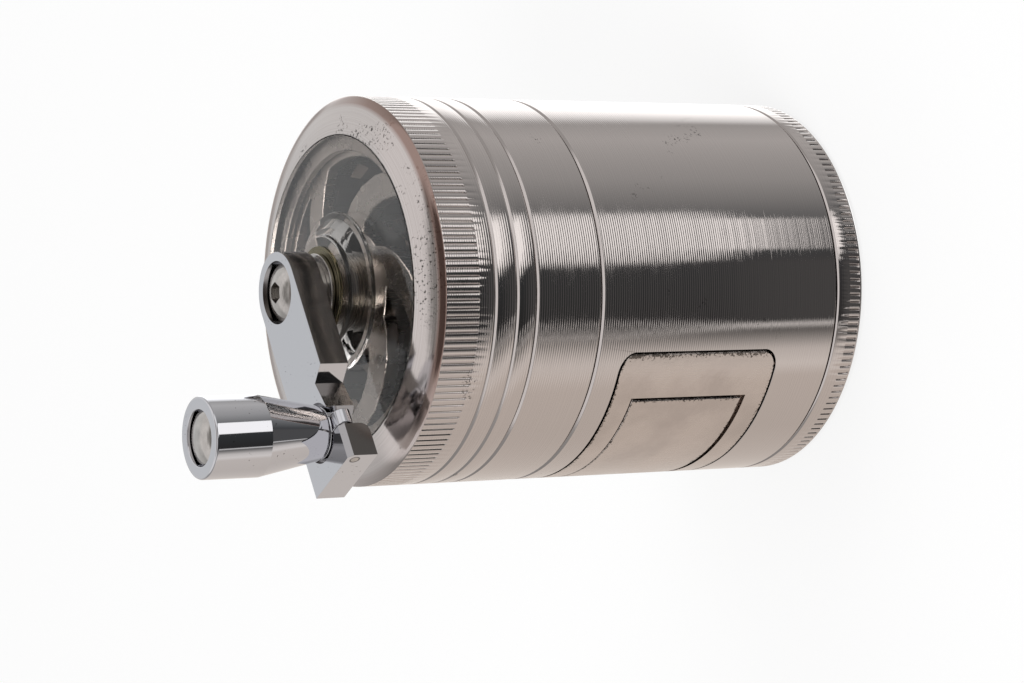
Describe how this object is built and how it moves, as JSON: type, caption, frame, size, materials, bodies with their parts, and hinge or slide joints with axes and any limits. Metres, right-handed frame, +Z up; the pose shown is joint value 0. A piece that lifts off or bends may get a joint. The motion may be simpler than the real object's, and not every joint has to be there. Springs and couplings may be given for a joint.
{
  "type": "hand-crank spice grinder",
  "caption": "Drum-shaped metal spice grinder with a folding crank on a windowed lid, a toothed chamber, a curved drawer with a sieve floor and a screwed base cap.",
  "frame": {"origin": "centre of the flat underside of the base cap", "axes": "+Z up along the drum's axis, the drawer opens towards -Y"},
  "size_m": [0.063, 0.066, 0.1137],
  "materials": {
    "turned_metal": "turned and nickel-plated zinc alloy",
    "drawer_metal": "cast and nickel-plated zinc alloy",
    "cast_metal": "cast zinc alloy",
    "crank_chrome": "polished chrome plate",
    "steel": "bright steel",
    "bush_brass": "dull brass",
    "acrylic": "clear moulded acrylic",
    "magnet": "nickel-plated magnet",
    "nylon": "white nylon",
    "sieve_mesh": "woven steel mesh"
  },
  "bodies": {
    "housing": {"drawer_housing": "turned_metal"},
    "base": {"base_cap": "turned_metal"},
    "drawer": {"drawer_tray": "drawer_metal", "drawer_pull_plate": "drawer_metal", "sieve_screen": "sieve_mesh", "sieve_frame": "steel"},
    "chamber": {"grinding_chamber": "turned_metal", "chamber_magnet": "magnet", "glide_ring": "nylon"},
    "lid": {"lid_ring": "turned_metal", "lid_window": "acrylic", "window_retainer": "cast_metal", "window_bush": "bush_brass"},
    "crank": {"thrust_washer": "steel", "hub_spacer": "steel", "crank_spindle": "steel", "crank_arm": "crank_chrome", "crank_screw": "steel", "fold_pin": "steel", "rotor": "cast_metal", "rotor_magnet": "magnet", "rotor_washer": "steel", "rotor_screw": "steel"},
    "knob_block": {"fold_block": "crank_chrome", "knob_axle": "steel"},
    "knob": {"knob": "crank_chrome"}
  },
  "joints": [
    {"name": "cap_unscrew", "type": "slide", "parent": "housing", "child": "base", "axis": [0, 0, -1], "range_m": [0, 0.02]},
    {"name": "drawer_slide", "type": "slide", "parent": "housing", "child": "drawer", "axis": [0, -1, 0], "range_m": [0, 0.045]},
    {"name": "chamber_unscrew", "type": "slide", "parent": "housing", "child": "chamber", "axis": [0, 0, 1], "range_m": [0, 0.02]},
    {"name": "lid_lift", "type": "slide", "parent": "chamber", "child": "lid", "axis": [0, 0, 1], "range_m": [0, 0.03]},
    {"name": "crank_turn", "type": "hinge", "parent": "lid", "child": "crank", "pos_m": [0, 0, 0.085], "axis": [0, 0, 1], "continuous": true},
    {"name": "knob_fold", "type": "hinge", "parent": "crank", "child": "knob_block", "pos_m": [0.00841, -0.02521, 0.0915], "axis": [-0.1132, 0.9936, 0], "range_deg": [0, 90]},
    {"name": "knob_spin", "type": "hinge", "parent": "knob_block", "child": "knob", "pos_m": [0.00294, -0.02583, 0.1], "axis": [0, 0, 1], "continuous": true}
  ]
}
